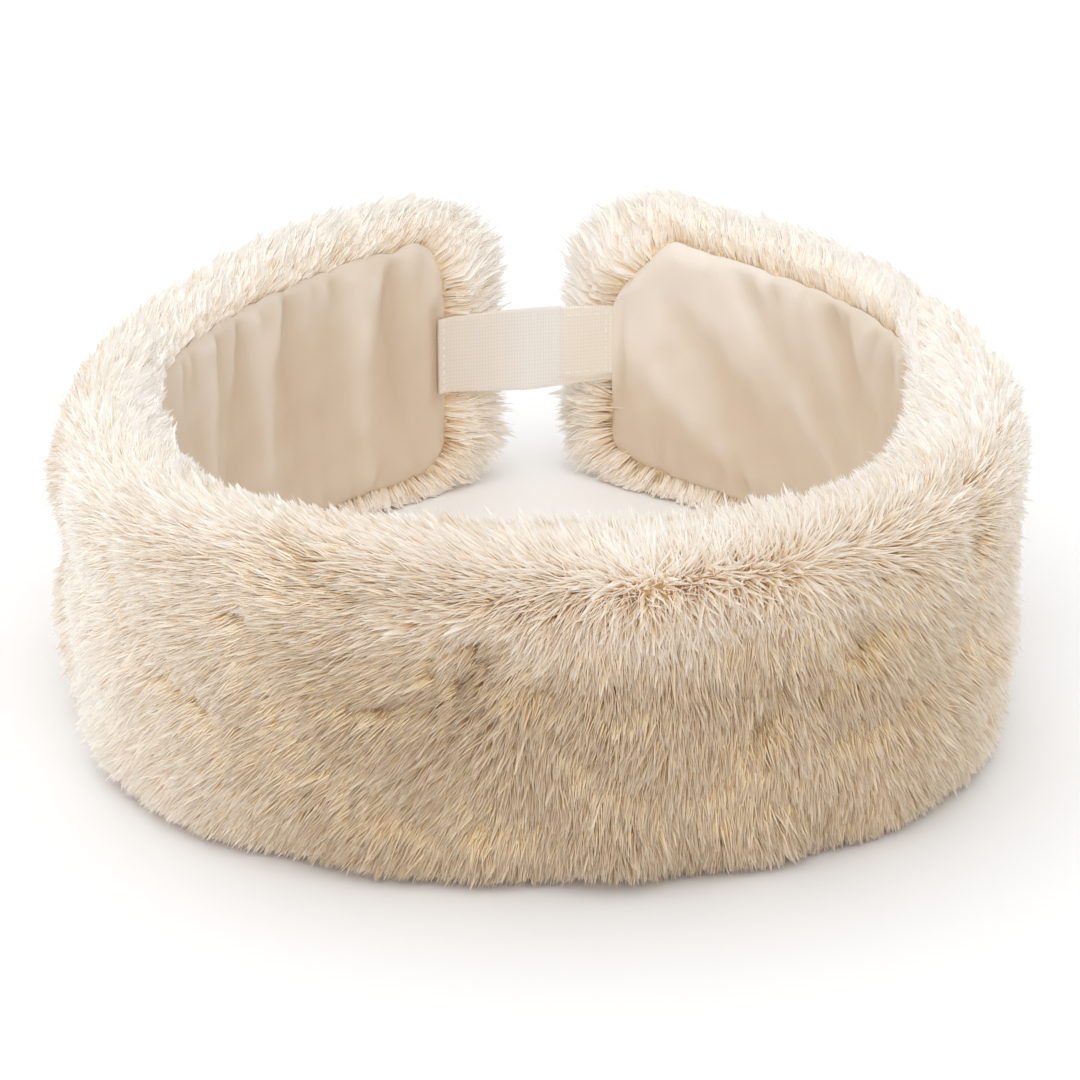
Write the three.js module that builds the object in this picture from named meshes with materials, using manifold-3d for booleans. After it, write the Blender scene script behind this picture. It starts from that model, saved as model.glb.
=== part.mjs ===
// Faux fur headband: a thick strip of plush pile that goes round the head, faced on the head's side with a
// satin lining and closed at the back by a short elastic strap. It stands on its lower edge, with its open
// ends at the back. Millimetres, +Z up, the front of the band towards -Y, the origin at the middle of its foot.
//
// fur_band       the outer form of the pile, wrapped over both edges and round both ends
// lining         a satin strip with trimmed corners, let into the inner side of the pile
// elastic_strap  woven elastic, sewn on the lining at the left end and under it at the right end
import * as THREE from 'three';
import { mergeVertices } from 'three/addons/utils/BufferGeometryUtils.js';
import Module from 'manifold-3d';

const wasm = await Module();
wasm.setup();

const LIP = 1; // how far the pile stands inside the lining's face
const END_WRAP = 21; // of the pile past each end of the lining
const END_ROUND = 24; // length over which the pile rounds off towards its tips
const END_HEIGHT_ROUND = 20; // how much its top and foot draw in over that length
const END_DEPTH_ROUND = 10; // how much its inner and outer sides draw in
const FOOT_TAPER = 1; // how much less deep the pile is at its foot than at its top
const OVERHANG_START = 58; // height where the pile begins to roll in over the lining
const OVERHANG_FULL = 70;

const LINING_THICKNESS = 1.2; // satin with its turned-in hem
const LINING_BOTTOM = 5.5;
const LINING_TOP = 67;

const STRAP_THICKNESS = 1.2;
const STRAP_HEIGHT = 36.8; // of its centre line above the foot
const STRAP_ON_LINING = 2.5; // overlap on the left end of the lining
const STRAP_TURN = 1; // past the right end of the lining, where the strap turns in under it
const STRAP_UNDER_LINING = 7; // hidden length there

const GAP = 0.3; // between pieces that touch
const POCKET_MOUTH = -30; // where the pocket for the lining opens, inside the deepest overhang
const SECTION_STEP = 7; // spacing of the sections along the band

// The lining's line seen from above, from its left end round the front to its right end.
const PLAN = [
  { place: 'left end', x: -22, y: 110 },
  { place: 'left back', x: -45, y: 91 },
  { place: 'behind the left side', x: -70, y: 56 },
  { place: 'left side', x: -83.5, y: 17 },
  { place: 'left front of the side', x: -80.5, y: -20 },
  { place: 'left front', x: -66, y: -51.5 },
  { place: 'left of the middle', x: -36, y: -70.5 },
  { place: 'middle of the front', x: 0, y: -75 },
  { place: 'right of the middle', x: 37, y: -70.5 },
  { place: 'right front', x: 69, y: -51 },
  { place: 'right front of the side', x: 83, y: -18 },
  { place: 'right side', x: 85.5, y: 21 },
  { place: 'behind the right side', x: 73.5, y: 60.5 },
  { place: 'right back', x: 46.5, y: 93 },
  { place: 'right end', x: 18, y: 116.5 },
];

// The pile round the band: the height of its top, how deep it is outwards from the lining's face, and how
// far its top rolls in over the lining. share runs from the left end to the right end.
const PILE = [
  { place: 'left end', share: 0, top: 74, depth: 19, overhang: 0 },
  { place: 'left back', share: 0.06, top: 73, depth: 19, overhang: 0.5 },
  { place: 'behind the left end', share: 0.1, top: 72.5, depth: 21.5, overhang: 1 },
  { place: 'behind the left side', share: 0.18, top: 75, depth: 23.5, overhang: 2 },
  { place: 'left side', share: 0.28, top: 75, depth: 22.5, overhang: 7 },
  { place: 'left front', share: 0.38, top: 75, depth: 22, overhang: 6 },
  { place: 'front', share: 0.5, top: 75, depth: 22, overhang: 1 },
  { place: 'right front', share: 0.6, top: 75, depth: 22, overhang: 7 },
  { place: 'right side', share: 0.7, top: 75, depth: 22, overhang: 9 },
  { place: 'behind the right side', share: 0.83, top: 75, depth: 23, overhang: 2 },
  { place: 'right back', share: 0.94, top: 74.5, depth: 20, overhang: 0.5 },
  { place: 'right end', share: 1, top: 71, depth: 18, overhang: 0 },
];

// The pile's section, round from its inner top edge: each rounded edge and the straight side after it.
const EDGES = [
  { edge: 'inner top', radius: 5, steps: 3, sideAfter: 'top', sideSteps: 1 },
  { edge: 'outer top', radius: 9, steps: 4, sideAfter: 'outer side', sideSteps: 9 },
  { edge: 'outer foot', radius: 4, steps: 3, sideAfter: 'foot', sideSteps: 1 },
  { edge: 'inner foot', radius: 4, steps: 2, sideAfter: 'inner side', sideSteps: 5 },
];
const EDGE_ROOM = 0.45; // the largest radius, as a share of the section's shorter side
const TIP_ANGLES = [15, 35, 52, 70, 90]; // of the sections on the rounded ends, from the tip in degrees

// Hollows where the pile parts. along is measured from the middle of the front, towards the right.
const HOLLOWS = [
  { place: 'left of the middle', along: -11, height: 48, reach: 10, depth: 3.5 },
  { place: 'left', along: -35, height: 39, reach: 7, depth: 2 },
  { place: 'high on the left', along: -40, height: 62, reach: 8, depth: 2 },
  { place: 'left front', along: -69, height: 34, reach: 8, depth: 2 },
  { place: 'right', along: 33, height: 36, reach: 6, depth: 2 },
  { place: 'right front', along: 47, height: 44, reach: 8, depth: 2.5 },
  { place: 'right side', along: 78, height: 62, reach: 8, depth: 3 },
];

// The ends of the lining, with their trimmed corners.
const LINING_LEFT_END = [
  { fromEnd: 0, bottom: 16, top: 50 },
  { fromEnd: 1, bottom: 11.5, top: 58 },
  { fromEnd: 3.5, bottom: 8, top: 64.5 },
  { fromEnd: 8, bottom: 6, top: 68 },
  { fromEnd: 14, bottom: LINING_BOTTOM, top: LINING_TOP },
];
const LINING_RIGHT_END = [
  { fromEnd: 0, bottom: 14, top: 45 },
  { fromEnd: 1.5, bottom: 9.5, top: 50 },
  { fromEnd: 9, bottom: 7, top: 59 },
  { fromEnd: 18, bottom: 6, top: 68 },
  { fromEnd: 24, bottom: LINING_BOTTOM, top: LINING_TOP },
];

// The free stretch of the strap between the two ends of the lining. Towards the right the elastic is
// folded back on itself and sewn double.
const STRAP_STRETCH = [
  { share: 0, width: 19.5, thickness: STRAP_THICKNESS },
  { share: 0.3, width: 21, thickness: STRAP_THICKNESS },
  { share: 0.5, width: 21.6, thickness: STRAP_THICKNESS },
  { share: 0.68, width: 21, thickness: STRAP_THICKNESS },
  { share: 0.69, width: 20, thickness: 1.8 },
  { share: 1, width: 19.5, thickness: 1.8 },
];

const { lerp, smoothstep, degToRad } = THREE.MathUtils;

const planLine = new THREE.CatmullRomCurve3(PLAN.map(({ x, y }) => new THREE.Vector3(x, y, 0)));
planLine.arcLengthDivisions = 2000;
const liningLength = planLine.getLength();

// A point at a distance along the lining's line, moved outwards by offset. Past the ends the line goes
// straight on.
function planPoint(along, offset, height = 0) {
  const onLine = THREE.MathUtils.clamp(along, 0, liningLength);
  const point = planLine.getPointAt(onLine / liningLength);
  const tangent = planLine.getTangentAt(onLine / liningLength);
  const outward = new THREE.Vector3(tangent.y, -tangent.x, 0);
  point.addScaledVector(tangent, along - onLine).addScaledVector(outward, offset);
  point.z = height;
  return point;
}

// The values of a table at a place between two of its rows. key is the column that places them.
function between(rows, key, value) {
  const next = rows.findIndex((row) => row[key] >= value);
  if (next === 0) return rows[0];
  if (next < 0) return rows.at(-1);
  const [before, after] = [rows[next - 1], rows[next]];
  const share = (value - before[key]) / (after[key] - before[key]);
  const columns = Object.keys(before).filter((column) => column !== 'place');
  return Object.fromEntries(columns.map((column) => [column, lerp(before[column], after[column], share)]));
}

function evenly(from, to, step) {
  const count = Math.ceil((to - from) / step);
  return Array.from({ length: count + 1 }, (_, i) => lerp(from, to, i / count));
}

// A closed solid through loops of equally many points, closed at each end by a fan round its middle.
function loft(loops) {
  const size = loops[0].length;
  const points = loops.flat();
  const faces = [];
  for (let at = 0; at + size < points.length; at += size) {
    for (let i = 0; i < size; i++) {
      const a = at + i;
      const b = at + ((i + 1) % size);
      faces.push(a, b, b + size, a, b + size, a + size);
    }
  }
  const lastRing = points.length - size;
  for (const [ring, turned] of [[0, true], [lastRing, false]]) {
    const middle = new THREE.Vector3();
    for (let i = 0; i < size; i++) middle.addScaledVector(points[ring + i], 1 / size);
    const centre = points.push(middle) - 1;
    for (let i = 0; i < size; i++) {
      const a = ring + i;
      const b = ring + ((i + 1) % size);
      faces.push(...(turned ? [b, a, centre] : [a, b, centre]));
    }
  }
  const geometry = new THREE.BufferGeometry().setFromPoints(points);
  geometry.setIndex(faces);
  return toSolid(geometry);
}

function toSolid(geometry) {
  const merged = mergeVertices(geometry, 1e-3);
  return new wasm.Manifold(new wasm.Mesh({
    numProp: 3,
    vertProperties: new Float32Array(merged.getAttribute('position').array),
    triVerts: new Uint32Array(merged.getIndex().array),
  }));
}

function toMesh(name, solid, look) {
  const { vertProperties, triVerts } = solid.getMesh();
  const geometry = new THREE.BufferGeometry();
  geometry.setAttribute('position', new THREE.BufferAttribute(vertProperties, 3));
  geometry.setIndex(new THREE.BufferAttribute(triVerts, 1));
  geometry.computeVertexNormals();
  const mesh = new THREE.Mesh(geometry, new THREE.MeshStandardMaterial(look));
  mesh.name = name;
  return mesh;
}

// Fur band

// How far a rounded end has drawn in, at a distance from its tip: a quarter of an ellipse.
function drawnIn(fromTip, most) {
  const share = Math.max(1 - fromTip / END_ROUND, 0);
  return most * (1 - Math.sqrt(1 - share * share));
}

// [offset outwards, height] points round the pile's section, between its four sides.
function pileOutline(inner, outer, foot, top) {
  const largest = EDGE_ROOM * Math.min(outer - inner, top - foot);
  const quarter = Math.PI / 2;
  const path = new THREE.Path();
  EDGES.forEach(({ radius, edge }, i) => {
    const r = Math.min(radius, largest);
    const x = edge.startsWith('inner') ? inner + r : outer - r;
    const y = edge.endsWith('top') ? top - r : foot + r;
    path.absarc(x, y, r, (2 - i) * quarter, (1 - i) * quarter, true);
  });
  path.closePath();
  const steps = EDGES.flatMap((row) => [row.steps, row.sideSteps]);
  return path.curves.flatMap((curve, i) => curve.getPoints(steps[i]).slice(1));
}

function hollowAt(along, height) {
  return HOLLOWS.reduce((sum, hollow) => {
    const across = (along - liningLength / 2 - hollow.along) / hollow.reach;
    const up = (height - hollow.height) / hollow.reach;
    return sum + hollow.depth * Math.exp(-across * across - up * up);
  }, 0);
}

function pileLoop(along) {
  const fromTip = Math.min(along, liningLength - along) + END_WRAP;
  const { top, depth, overhang } = between(PILE, 'share', along / liningLength);
  const sides = drawnIn(fromTip, END_DEPTH_ROUND);
  const edges = drawnIn(fromTip, END_HEIGHT_ROUND);
  const [inner, outer] = [sides - LIP, depth - sides];
  return pileOutline(inner, outer, edges, top - edges).map(({ x, y: height }) => {
    const outside = THREE.MathUtils.clamp((x - inner) / (outer - inner), 0, 1);
    const rollIn = overhang * smoothstep(height, OVERHANG_START, OVERHANG_FULL) * (1 - outside);
    const taper = FOOT_TAPER * (1 - height / top) * outside;
    const hollow = hollowAt(along, height) * smoothstep(outside, 0.5, 1);
    return planPoint(along, x - rollIn - taper - hollow, height);
  });
}

// The lining, or with a clearance the pocket for it, which is open towards the head.
function liningSolid(clearance, inner) {
  const left = LINING_LEFT_END.map((row) => ({ ...row, along: row.fromEnd - clearance }));
  const right = LINING_RIGHT_END.map((row) => ({ ...row, along: liningLength - row.fromEnd + clearance }));
  right.reverse();
  const straight = evenly(left.at(-1).along, right[0].along, SECTION_STEP).slice(1, -1);
  const middle = straight.map((along) => ({ along, bottom: LINING_BOTTOM, top: LINING_TOP }));
  const outer = LINING_THICKNESS + clearance;
  return loft([...left, ...middle, ...right].map(({ along, bottom, top }) => [
    planPoint(along, inner, bottom - clearance),
    planPoint(along, inner, top + clearance),
    planPoint(along, outer, top + clearance),
    planPoint(along, outer, bottom - clearance),
  ]));
}

// The strap, or with a clearance the room that it takes in the pile.
function strapSolid(clearance) {
  const onLining = -GAP - STRAP_THICKNESS / 2;
  const underLining = LINING_THICKNESS + GAP + STRAP_THICKNESS / 2;
  const leaves = planPoint(0, onLining);
  const enters = planPoint(liningLength + STRAP_TURN, underLining);
  const route = STRAP_STRETCH.map(({ share, width, thickness }) => ({
    point: leaves.clone().lerp(enters, share),
    width,
    thickness,
  }));
  const [first, last] = [STRAP_STRETCH[0], { ...STRAP_STRETCH.at(-1), thickness: STRAP_THICKNESS }];
  route.unshift({ ...first, point: planPoint(STRAP_ON_LINING, onLining) });
  route.push({ ...last, point: planPoint(liningLength, underLining) });
  route.push({ ...last, point: planPoint(liningLength - STRAP_UNDER_LINING - clearance, underLining) });
  return loft(route.map(({ point, width, thickness }, i) => {
    const before = route[Math.max(i - 1, 0)].point;
    const after = route[Math.min(i + 1, route.length - 1)].point;
    const ahead = after.clone().sub(before).normalize();
    const outward = new THREE.Vector3(-ahead.y, ahead.x, 0);
    const corner = (side, up) => {
      const moved = point.clone().addScaledVector(outward, side * (thickness / 2 + clearance));
      moved.z = STRAP_HEIGHT + up * (width / 2 + clearance);
      return moved;
    };
    return [corner(-1, -1), corner(1, -1), corner(1, 1), corner(-1, 1)];
  }));
}

const FUR = { color: 0xe6d3bb, roughness: 0.95, metalness: 0 };
const SATIN = { color: 0xdcc7b0, roughness: 0.45, metalness: 0 };
const ELASTIC = { color: 0xe3d8cd, roughness: 0.8, metalness: 0 };

const leftTip = TIP_ANGLES.map((angle) => END_ROUND * (1 - Math.cos(degToRad(angle))) - END_WRAP);
const rightTip = leftTip.map((along) => liningLength - along).reverse();
const pileStations = [
  ...leftTip,
  ...evenly(leftTip.at(-1), rightTip[0], SECTION_STEP).slice(1, -1),
  ...rightTip,
];
const pocket = liningSolid(GAP, POCKET_MOUTH);
const furBand = loft(pileStations.map(pileLoop)).subtract(pocket).subtract(strapSolid(GAP));

const group = new THREE.Group();
group.add(toMesh('fur_band', furBand, FUR));
group.add(toMesh('lining', liningSolid(0, 0), SATIN));
group.add(toMesh('elastic_strap', strapSolid(0), ELASTIC));

const centre = new THREE.Box3().setFromObject(group).getCenter(new THREE.Vector3());
group.position.set(-centre.x, -centre.y, 0);

export default group;
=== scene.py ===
import math

import bpy
import numpy as np
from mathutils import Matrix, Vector
from mathutils.bvhtree import BVHTree


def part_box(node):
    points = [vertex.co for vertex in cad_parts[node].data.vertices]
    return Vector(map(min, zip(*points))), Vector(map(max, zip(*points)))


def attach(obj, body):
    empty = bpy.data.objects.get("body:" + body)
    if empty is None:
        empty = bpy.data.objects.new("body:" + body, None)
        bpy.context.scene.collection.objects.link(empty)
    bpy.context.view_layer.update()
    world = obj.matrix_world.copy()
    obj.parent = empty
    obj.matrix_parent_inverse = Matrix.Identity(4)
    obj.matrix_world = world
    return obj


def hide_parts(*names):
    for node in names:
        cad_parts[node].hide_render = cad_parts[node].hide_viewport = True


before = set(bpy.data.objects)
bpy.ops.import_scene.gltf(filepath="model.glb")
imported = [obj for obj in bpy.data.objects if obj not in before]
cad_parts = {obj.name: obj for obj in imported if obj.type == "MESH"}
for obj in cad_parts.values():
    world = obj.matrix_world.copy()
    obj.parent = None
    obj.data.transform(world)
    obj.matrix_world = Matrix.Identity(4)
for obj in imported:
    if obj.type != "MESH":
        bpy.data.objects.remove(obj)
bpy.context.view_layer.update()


# ---- Camera ------------------------------------------------------------------------------------------
# It looks down over the front rim into the opening, from far enough away that the near and the far rim
# keep about the same scale.

CAMERA_ELEVATION = math.radians(24)
CAMERA_DISTANCE = 0.855
CAMERA_AIM = Vector((0, -0.0204, 0.036))
CAMERA_LENS = 129.7  # millimetres
CAMERA_SENSOR = 36

camera = bpy.data.objects.new("camera", bpy.data.cameras.new("camera"))
camera.data.lens = CAMERA_LENS
camera.data.sensor_width = CAMERA_SENSOR
camera_back = Vector((0, -math.cos(CAMERA_ELEVATION), math.sin(CAMERA_ELEVATION)))
camera.location = CAMERA_AIM + camera_back * CAMERA_DISTANCE
camera.rotation_euler = (-camera_back).to_track_quat("-Z", "Y").to_euler()
bpy.context.scene.collection.objects.link(camera)
bpy.context.scene.camera = camera


# ---- Backing -----------------------------------------------------------------------------------------
# The woven backing of the fur fabric, wrapped round a strip of wadding and turned in along both edges and
# both ends of the lining. It is a long pad with rounded edges, dyed like the roots of the pile, and it
# shows only where the pile parts.

MM = 0.001
LINE_STEP = 1 * MM  # between points of the band's line
LINE_SMOOTHING = 6  # points on each side that round off the line's facets
TURN_IN = 5.5 * MM  # of the backing past each end of the lining
BACKING_INNER = 1.7 * MM  # its side behind the lining, outwards from the lining's face
BACKING_OUTER = 14.5 * MM
BACKING_FOOT = 3.5 * MM
BACKING_TOP = 68 * MM
STATION_STEP = 2.2 * MM
END_STATION_STEP = 1.6 * MM  # over the rounded corners
END_STATIONS = 24 * MM
TIP_STATIONS = 5  # over the turn-in at each end
TIP_THINNING = 0.92  # of the pad towards its two ends
ROUNDEST_EDGE = 0.46  # the largest radius of an edge, as a share of the pad's thickness or height

# The pad's section, from the inner top edge round over the outer side: the radius of each edge in
# millimetres, the steps round it, and the steps along the side that follows.
BACKING_EDGES = [
    {"edge": "inner top", "radius": 3, "steps": 4, "side_steps": 3},
    {"edge": "outer top", "radius": 7, "steps": 6, "side_steps": 24},
    {"edge": "outer foot", "radius": 5, "steps": 5, "side_steps": 3},
    {"edge": "inner foot", "radius": 2.5, "steps": 3, "side_steps": 22},
]
# How far each corner of the pad's two ends is rounded, seen from the head's side, in millimetres.
END_CORNERS = {
    "left": {"top": 17, "foot": 15},
    "right": {"top": 25, "foot": 15},
}
# Places where the pile parts: (along from the middle of the front towards the right, height, length, width,
# turn of the parting's line in degrees from along the band towards its top, depth), in millimetres.
PARTINGS = [
    (-16, 52.5, 9, 4.2, -62, 4.5), (-18.5, 45.5, 9, 4.2, -78, 4.5), (-23, 50, 8, 2.8, -75, 2.5),
    (-4, 45.5, 12, 4.5, 8, 2.2), (-33, 40, 11, 3.5, -12, 3.5), (-40, 64, 12, 3.5, -20, 2.5),
    (-57, 56, 12, 3, -25, 2.0), (-69, 34, 14, 3.5, -28, 2.2), (-84, 50, 14, 3.5, -60, 1.2),
    (7, 42, 11, 3, 15, 2.0), (33, 35, 9, 3.5, 75, 3.5), (44, 41, 9, 3, 60, 2.5),
    (51, 48, 10, 3.5, 50, 3.5), (61, 34, 10, 3, 40, 2.0), (78, 62, 12, 3.5, 78, 4.0),
    (120, 40, 13, 3.5, 50, 2.5), (165, 52, 12, 3.5, 30, 2.5), (-130, 45, 13, 3.5, -35, 1.2),
    (-180, 35, 13, 3.5, -25, 2.5),
]
PARTING_PUSH = 1 / 6  # how far the pile leans away from a parting, for each millimetre of its depth
BARE_DEPTH = 2.5  # of a parting that lays the backing bare, where the backing's painted shade is fullest
CROWN_ALONG = 25 * MM  # the pile's crown, from the middle of the front
CROWN_DOWN = 2 * MM  # and from the outer top edge, round the outer side
CROWN_SWELL = {"rise": 2.4, "length": 48, "width": 7}  # the wadding's, under the crown, in millimetres
WADDING_LUMPS = {"count": 14, "shortest": 15, "longest": 38, "height": 1.1, "seed": 4}  # in millimetres
# Where the strap passes under the lining's right end, the backing gives way behind it, in millimetres.
STRAP_POCKET = {"depth": 2.2, "reach": 9, "foot": 24, "top": 49.5, "fade": 4, "level_fade": 3}


def smooth(low, high, value):
    """0 at low, 1 at high, and a soft step between."""
    share = np.clip((value - low) / (high - low), 0, 1)
    return share * share * (3 - 2 * share)


def smooth_mm(low, high, value):
    """The same from low and high in millimetres, for a value in metres."""
    return smooth(low * MM, high * MM, value)


def between_mm(low, high, fade, value):
    """1 from low to high, and nothing from a fade past them, in millimetres for a value in metres."""
    return smooth_mm(low - fade, low, value) * smooth_mm(high + fade, high, value)


def hump(lengthwise, across):
    """1 at an oval's middle and fading past its edge, from how far towards its edge a place is, each way."""
    return np.exp(-lengthwise ** 2 - across ** 2)


def unit(vectors):
    """The vectors' directions, each one unit long."""
    return vectors / np.maximum(np.linalg.norm(vectors, axis=-1, keepdims=True), 1e-9)


def walk(points):
    """How far along a line of points each one lies."""
    return np.concatenate([[0], np.cumsum(np.linalg.norm(np.diff(points, axis=0), axis=1))])


def read_line(along, known, values):
    """Values in two columns, such as x and y, at distances along a line where they are known."""
    return np.stack([np.interp(along, known, values[:, column]) for column in (0, 1)], axis=-1)


def trace_band_line():
    """Points along the head's side of the lining at mid height, from its left end round to its right end."""
    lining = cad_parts["lining"].data
    walls = BVHTree.FromPolygons([v.co for v in lining.vertices], [p.vertices for p in lining.polygons])
    low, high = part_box("lining")
    centre = Vector((0, 0, (low.z + high.z) / 2))
    hits = []
    for degrees in np.arange(90, 450, 0.2):
        way = Vector((math.cos(math.radians(degrees)), math.sin(math.radians(degrees)), 0))
        hit = walls.ray_cast(centre, way)[0]
        if hit is not None:
            hits.append(hit.xy)
    hits = np.array(hits)
    walked = walk(hits)
    even = np.linspace(0, walked[-1], round(walked[-1] / LINE_STEP) + 1)
    points = read_line(even, walked, hits)
    before = 2 * points[0] - points[LINE_SMOOTHING:0:-1]
    after = 2 * points[-1] - points[-2:-LINE_SMOOTHING - 2:-1]
    longer = np.concatenate([before, points, after])
    weights = np.hanning(2 * LINE_SMOOTHING + 3)[1:-1]
    weights /= weights.sum()
    return even, np.stack([np.convolve(longer[:, axis], weights, "valid") for axis in (0, 1)], axis=1)


line_along, line_xy = trace_band_line()
line_tangent = unit(np.gradient(line_xy, line_along, axis=0))
line_outward = np.stack([line_tangent[:, 1], -line_tangent[:, 0]], axis=1)
LENGTH = line_along[-1]
MIDDLE = LENGTH / 2


def on_band(along, outwards, height):
    """Points at a distance along the band's line, outwards from it and above the foot. Past the ends the line
    goes straight on."""
    held = np.clip(along, 0, LENGTH)
    xy = read_line(held, line_along, line_xy)
    xy = xy + read_line(held, line_along, line_tangent) * (along - held)[..., None]
    xy = xy + read_line(held, line_along, line_outward) * outwards[..., None]
    return np.concatenate([xy, height[..., None]], axis=-1)


def quarter(share):
    """How far a quarter circle has drawn in: 1 at share 0 and nothing at share 1."""
    return 1 - np.sqrt(1 - (1 - np.clip(share, 0, 1)) ** 2)


def backing_section(inner, outer, foot, top):
    """(outwards, height) points round the pad, and how far round it each lies from its outer top edge."""
    arcs = []
    for row in BACKING_EDGES:
        radius = min(row["radius"] * MM, ROUNDEST_EDGE * (outer - inner), ROUNDEST_EDGE * (top - foot))
        is_inner = row["edge"].startswith("inner")
        is_top = row["edge"].endswith("top")
        outwards = inner + radius if is_inner else outer - radius
        level = top - radius if is_top else foot + radius
        turns = np.radians(180 - 90 * (len(arcs) + np.linspace(0, 1, row["steps"] + 1)))
        arcs.append(np.stack([outwards + radius * np.cos(turns), level + radius * np.sin(turns)], axis=1))
    points = []
    for row, arc, following in zip(BACKING_EDGES, arcs, arcs[1:] + arcs[:1]):
        shares = np.linspace(0, 1, row["side_steps"] + 1)[1:-1, None]
        points += [arc, arc[-1] * (1 - shares) + following[0] * shares]
    points = np.concatenate(points)
    walked = walk(points)
    outer_top = BACKING_EDGES[0]["steps"] + BACKING_EDGES[0]["side_steps"] + BACKING_EDGES[1]["steps"] // 2
    return points, walked - walked[outer_top]


def in_oval(aside, above, turn, length, width):
    """How far towards the edge of a turned oval a place is, lengthwise and across: 1 at the edge."""
    lengthwise = (aside * math.cos(turn) + above * math.sin(turn)) / (length / 2)
    across = (above * math.cos(turn) - aside * math.sin(turn)) / (width / 2)
    return lengthwise, across


def parting_at(along, height):
    """How deep the pile has parted at places on the outer side, in millimetres, and how far that pushes it
    along the band and upwards."""
    depth = np.zeros_like(along)
    push = np.zeros(along.shape + (2,))
    for place, level, length, width, turn, deepest in PARTINGS:
        turn = math.radians(turn)
        aside = along - MIDDLE - place * MM
        above = height - level * MM
        lengthwise, across = in_oval(aside, above, turn, length * MM, width * MM)
        depth += deepest * hump(lengthwise, across)
        away = np.tanh(across) * hump(lengthwise, across / 1.5) * deepest * PARTING_PUSH
        push += away[..., None] * np.array([-math.sin(turn), math.cos(turn)])
    return depth, push


def crossing_waves(along, height, waves):
    """A swell made of a few waves that cross at chance angles."""
    chances = np.random.default_rng(waves["seed"])
    swell = np.zeros_like(along)
    for _ in range(waves["count"]):
        size = chances.uniform(waves["shortest"], waves["longest"]) * MM
        turn, start = chances.uniform(0, 2 * math.pi, 2)
        swell += np.sin(2 * math.pi * (along * math.cos(turn) + height * math.sin(turn)) / size + start)
    return swell * waves["height"] * MM / math.sqrt(waves["count"])


def round_crown(patch):
    """1 at the middle of the pile's crown, and fading past the edge of a patch round it."""
    return hump(from_crown / (patch["length"] * MM), below_crown / (patch["width"] * MM))


def loop_faces(rings, size):
    """The quads of a loft through rings of equally many points, with a face over each end."""
    grid = np.arange(rings * size).reshape(rings, size)
    across = np.roll(grid, -1, axis=1)
    quads = np.stack([grid[:-1], across[:-1], across[1:], grid[1:]], axis=-1).reshape(-1, 4)
    return quads.tolist() + [grid[0][::-1].tolist(), grid[-1].tolist()]


def backing_loft():
    """The pad's points as columns: along, outwards, height, round, from_end; and its faces."""
    tip = TURN_IN * (1 - np.cos(np.linspace(0, math.pi / 2, TIP_STATIONS + 1)))
    left = np.concatenate([tip[:-1] - TURN_IN, np.arange(0, END_STATIONS, END_STATION_STEP)])
    right = LENGTH - left[::-1]
    count = round((right[0] - left[-1]) / STATION_STEP)
    rings = []
    half = (BACKING_OUTER - BACKING_INNER) / 2
    for along in np.concatenate([left, np.linspace(left[-1], right[0], count + 1)[1:-1], right]):
        from_end = min(along, LENGTH - along) + TURN_IN
        corner = END_CORNERS["left" if along < MIDDLE else "right"]
        top = BACKING_TOP - corner["top"] * MM * quarter(from_end / (corner["top"] * MM))
        foot = BACKING_FOOT + corner["foot"] * MM * quarter(from_end / (corner["foot"] * MM))
        drawn = TIP_THINNING * half * quarter(from_end / half)
        section, round_it = backing_section(BACKING_INNER + drawn, BACKING_OUTER - drawn, foot, top)
        sizes = np.full((len(section), 4), [along, from_end - TURN_IN, top, foot])
        rings.append(np.column_stack([section, round_it, sizes]))
    rings = np.array(rings)
    return rings.reshape(-1, rings.shape[-1]).T, loop_faces(*rings.shape[:2])


def place_mesh(name, mesh):
    """A new object for a mesh, at the origin of the scene."""
    piece = bpy.data.objects.new(name, mesh)
    bpy.context.scene.collection.objects.link(piece)
    return piece


def make_piece(name, points, faces, material=None):
    """A smooth mesh object from its points and faces."""
    mesh = bpy.data.meshes.new(name)
    mesh.from_pydata(np.asarray(points).tolist(), [], faces)
    mesh.polygons.foreach_set("use_smooth", [True] * len(mesh.polygons))
    if material is not None:
        mesh.materials.append(material)
    return place_mesh(name, mesh)


def give(mesh, name, values, kind="FLOAT", domain="POINT"):
    """Stores values on the mesh under a name."""
    field = "vector" if kind == "FLOAT_VECTOR" else "value"
    attribute = mesh.attributes.new(name, kind, domain)
    attribute.data.foreach_set(field, np.ravel(values))


def put(tree, kind, inputs=None, **settings):
    """A node of a tree, with its settings, and its inputs linked to sockets or set to values."""
    made = tree.nodes.new(kind)
    for name, value in settings.items():
        setattr(made, name, value)
    for key, value in (inputs or {}).items():
        if isinstance(value, bpy.types.NodeSocket):
            tree.links.new(value, made.inputs[key])
        else:
            made.inputs[key].default_value = value
    return made


def ramp(tree, value, stops):
    """A colour ramp through (place, colour) stops."""
    made = put(tree, "ShaderNodeValToRGB", {"Fac": value})
    points = made.color_ramp.elements
    while len(points) < len(stops):
        points.new(0.5)
    for point, (place, colour) in zip(points, stops):
        point.position = place
        point.color = (*colour, 1)
    return made.outputs["Color"]


def new_material(name, **finish):
    """A material whose shader has this finish, with its tree."""
    material = bpy.data.materials.new(name)
    material.use_nodes = True
    shader = material.node_tree.nodes["Principled BSDF"]
    for socket, value in finish.items():
        shader.inputs[socket.replace("_", " ")].default_value = value
    return material, material.node_tree, shader


def finish_cloth(tree, shader, colour, height, depth, strength):
    """Gives a shader its colour and the relief of its weave."""
    bump = put(tree, "ShaderNodeBump", {"Height": height, "Distance": depth, "Strength": strength})
    tree.links.new(colour, shader.inputs["Base Color"])
    tree.links.new(bump.outputs["Normal"], shader.inputs["Normal"])


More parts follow.
